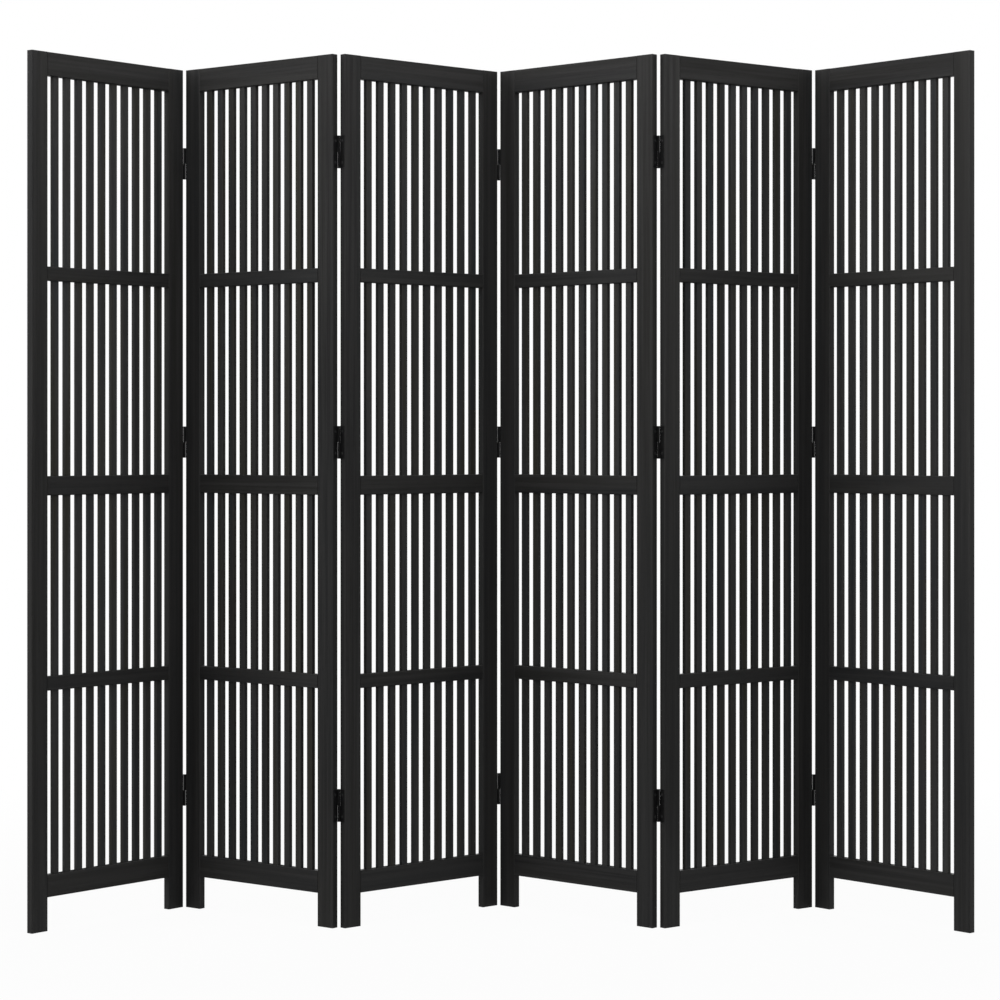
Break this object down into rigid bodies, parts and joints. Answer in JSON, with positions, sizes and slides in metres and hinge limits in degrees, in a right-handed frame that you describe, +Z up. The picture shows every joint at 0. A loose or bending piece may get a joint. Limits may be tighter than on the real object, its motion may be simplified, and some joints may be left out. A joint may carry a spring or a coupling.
{
  "type": "folding screen",
  "caption": "Free-standing slatted folding screen of equal hinged wooden panels in a zigzag, finished in satin black.",
  "frame": {"origin": "on the floor, under the centre of the box round the screen as it stands in its zigzag", "axes": "+X along the screen from panel 1 to panel 6, +Y from the front to the back, +Z up"},
  "size_m": [1.825, 0.339, 1.7],
  "materials": {
    "black_wood": "satin black stain",
    "hinge_black": "satin black",
    "pin_steel": "black oxide"
  },
  "bodies": {
    "panel_1": {"panel_1_left_stile": "black_wood", "panel_1_right_stile": "black_wood", "panel_1_top_rail": "black_wood", "panel_1_middle_rail": "black_wood", "panel_1_bottom_rail": "black_wood", "panel_1_crossbars": "black_wood", "panel_1_slats": "black_wood", "fold_1_left_leaves": "hinge_black", "fold_1_pins": "pin_steel"},
    "panel_2": {"panel_2_left_stile": "black_wood", "panel_2_right_stile": "black_wood", "panel_2_top_rail": "black_wood", "panel_2_middle_rail": "black_wood", "panel_2_bottom_rail": "black_wood", "panel_2_crossbars": "black_wood", "panel_2_slats": "black_wood", "fold_1_right_leaves": "hinge_black", "fold_2_left_leaves": "hinge_black"},
    "panel_3": {"panel_3_left_stile": "black_wood", "panel_3_right_stile": "black_wood", "panel_3_top_rail": "black_wood", "panel_3_middle_rail": "black_wood", "panel_3_bottom_rail": "black_wood", "panel_3_crossbars": "black_wood", "panel_3_slats": "black_wood", "fold_2_right_leaves": "hinge_black", "fold_2_pins": "pin_steel", "fold_3_left_leaves": "hinge_black", "fold_3_pins": "pin_steel"},
    "panel_4": {"panel_4_left_stile": "black_wood", "panel_4_right_stile": "black_wood", "panel_4_top_rail": "black_wood", "panel_4_middle_rail": "black_wood", "panel_4_bottom_rail": "black_wood", "panel_4_crossbars": "black_wood", "panel_4_slats": "black_wood", "fold_3_right_leaves": "hinge_black", "fold_4_left_leaves": "hinge_black"},
    "panel_5": {"panel_5_left_stile": "black_wood", "panel_5_right_stile": "black_wood", "panel_5_top_rail": "black_wood", "panel_5_middle_rail": "black_wood", "panel_5_bottom_rail": "black_wood", "panel_5_crossbars": "black_wood", "panel_5_slats": "black_wood", "fold_4_right_leaves": "hinge_black", "fold_4_pins": "pin_steel", "fold_5_left_leaves": "hinge_black", "fold_5_pins": "pin_steel"},
    "panel_6": {"panel_6_left_stile": "black_wood", "panel_6_right_stile": "black_wood", "panel_6_top_rail": "black_wood", "panel_6_middle_rail": "black_wood", "panel_6_bottom_rail": "black_wood", "panel_6_crossbars": "black_wood", "panel_6_slats": "black_wood", "fold_5_right_leaves": "hinge_black"}
  },
  "joints": [
    {"name": "fold_1", "type": "hinge", "parent": "panel_2", "child": "panel_1", "pos_m": [-0.64332, 0.13847, 0], "axis": [0, 0, 1], "range_deg": [-88.6, 91.4]},
    {"name": "fold_2", "type": "hinge", "parent": "panel_3", "child": "panel_2", "pos_m": [-0.31568, -0.09952, 0], "axis": [0, 0, -1], "range_deg": [-80.6, 99.4]},
    {"name": "fold_3", "type": "hinge", "parent": "panel_3", "child": "panel_4", "pos_m": [-0.00453, 0.15966, 0], "axis": [0, 0, -1], "range_deg": [-84.4, 95.6]},
    {"name": "fold_4", "type": "hinge", "parent": "panel_4", "child": "panel_5", "pos_m": [0.30662, -0.09952, 0], "axis": [0, 0, 1], "range_deg": [-80.4, 99.6]},
    {"name": "fold_5", "type": "hinge", "parent": "panel_5", "child": "panel_6", "pos_m": [0.63509, 0.13733, 0], "axis": [0, 0, -1], "range_deg": [-86.8, 93.2]}
  ]
}
